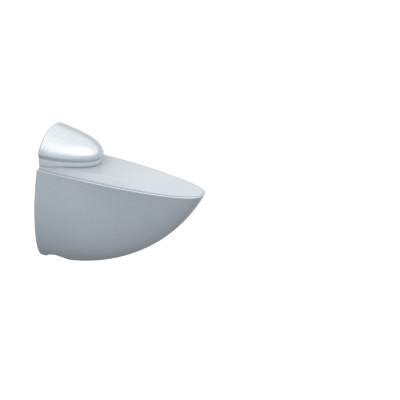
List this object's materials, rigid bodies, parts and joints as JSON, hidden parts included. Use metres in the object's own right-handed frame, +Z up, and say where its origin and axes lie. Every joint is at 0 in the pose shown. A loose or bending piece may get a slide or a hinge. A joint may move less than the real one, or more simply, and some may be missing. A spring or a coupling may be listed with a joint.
{
  "type": "shelf support clamp",
  "caption": "Beak-shaped shelf support clamp: a hollow lower jaw on a hidden wall plate, and a domed upper jaw that a vertical screw draws down on the shelf's edge.",
  "frame": {"origin": "centre of the wall plate's two screw holes, in the plane of the wall", "axes": "+Z up, +X to the right for someone facing the wall, +Y into the wall: the beak points along -Y"},
  "size_m": [0.034, 0.0749, 0.0623],
  "materials": {
    "silver_lacquer": "satin aluminium-coloured lacquer on zinc die casting",
    "clear_pad": "milky translucent soft plastic, glossy",
    "zinc_steel": "bright zinc-plated steel",
    "spring_steel": "blackened spring steel",
    "black_steel": "black-oxide steel"
  },
  "bodies": {
    "bracket": {"lower_jaw_body": "silver_lacquer", "lower_pad": "clear_pad", "wall_plate": "zinc_steel", "lock_screws": "black_steel"},
    "jaw": {"upper_jaw": "silver_lacquer", "upper_pad": "clear_pad"},
    "screw": {"clamp_screw": "zinc_steel", "screw_washer": "zinc_steel", "retaining_ring": "spring_steel"}
  },
  "joints": [
    {"name": "jaw_slide", "type": "slide", "parent": "bracket", "child": "jaw", "axis": [0, 0, 1], "range_m": [0, 0.02]},
    {"name": "screw_spin", "type": "hinge", "parent": "bracket", "child": "screw", "pos_m": [0, -0.008, 0], "axis": [0, 0, 1], "range_deg": [-9001, 1]}
  ],
  "couplings": [
    {"joint": "screw_spin", "follows": "jaw_slide", "rad_per_m": -7854}
  ]
}
